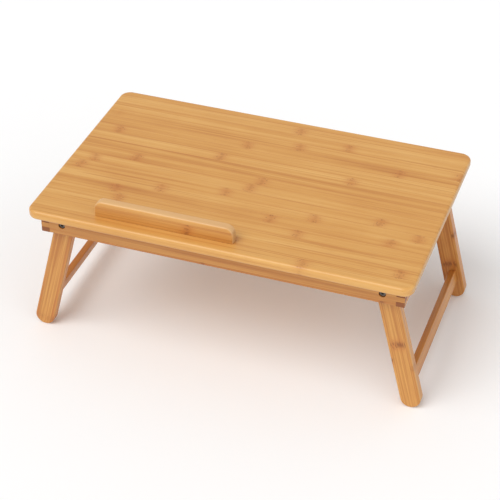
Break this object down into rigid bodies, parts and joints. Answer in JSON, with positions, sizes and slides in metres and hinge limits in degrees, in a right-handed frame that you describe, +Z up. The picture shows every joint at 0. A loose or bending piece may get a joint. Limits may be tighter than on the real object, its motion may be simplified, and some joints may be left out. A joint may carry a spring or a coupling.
{
  "type": "folding tray table",
  "caption": "Lap tray table: flat bamboo top with a stop ledge near the front, box-jointed apron, and splayed leg frames that fold inwards into the apron.",
  "frame": {"origin": "on the floor under the middle of the panel", "axes": "+X along the table's length, the ledge towards -X of the middle; +Y from the user's side to the back; +Z up"},
  "size_m": [0.5828, 0.35, 0.249],
  "materials": {
    "panel_bamboo": "satin lacquered bamboo, strips along its length",
    "rail_bamboo": "satin lacquered bamboo, strips along its length",
    "leg_bamboo": "satin lacquered bamboo, strips along its length",
    "dowel_wood": "raw turned hardwood",
    "dark_steel": "blackened zinc-plated steel",
    "brass": "plain turned brass"
  },
  "bodies": {
    "tabletop": {"device_ledge": "panel_bamboo", "front_rail": "rail_bamboo", "ledge_screw_left": "dark_steel", "ledge_screw_right": "dark_steel", "left_rail": "rail_bamboo", "panel_screw_front_left": "dark_steel", "panel_screw_front_right": "dark_steel", "panel_screw_left": "dark_steel", "panel_screw_rear_left": "dark_steel", "panel_screw_rear_right": "dark_steel", "panel_screw_right": "dark_steel", "rear_rail": "rail_bamboo", "right_rail": "rail_bamboo", "top_panel": "panel_bamboo"},
    "left_leg_frame": {"left_front_dowel_lower": "dowel_wood", "left_front_dowel_upper": "dowel_wood", "left_front_insert": "brass", "left_front_leg": "leg_bamboo", "left_front_pivot_bolt": "dark_steel", "left_front_washer": "dark_steel", "left_rear_dowel_lower": "dowel_wood", "left_rear_dowel_upper": "dowel_wood", "left_rear_insert": "brass", "left_rear_leg": "leg_bamboo", "left_rear_pivot_bolt": "dark_steel", "left_rear_washer": "dark_steel", "left_stretcher": "leg_bamboo"},
    "right_leg_frame": {"right_front_dowel_lower": "dowel_wood", "right_front_dowel_upper": "dowel_wood", "right_front_insert": "brass", "right_front_leg": "leg_bamboo", "right_front_pivot_bolt": "dark_steel", "right_front_washer": "dark_steel", "right_rear_dowel_lower": "dowel_wood", "right_rear_dowel_upper": "dowel_wood", "right_rear_insert": "brass", "right_rear_leg": "leg_bamboo", "right_rear_pivot_bolt": "dark_steel", "right_rear_washer": "dark_steel", "right_stretcher": "leg_bamboo"}
  },
  "joints": [
    {"name": "left_frame_fold", "type": "hinge", "parent": "tabletop", "child": "left_leg_frame", "pos_m": [-0.2309, 0, 0.195], "axis": [0, -1, 0], "range_deg": [0, 104.3]},
    {"name": "right_frame_fold", "type": "hinge", "parent": "tabletop", "child": "right_leg_frame", "pos_m": [0.2309, 0, 0.195], "axis": [0, 1, 0], "range_deg": [0, 104.3]}
  ]
}
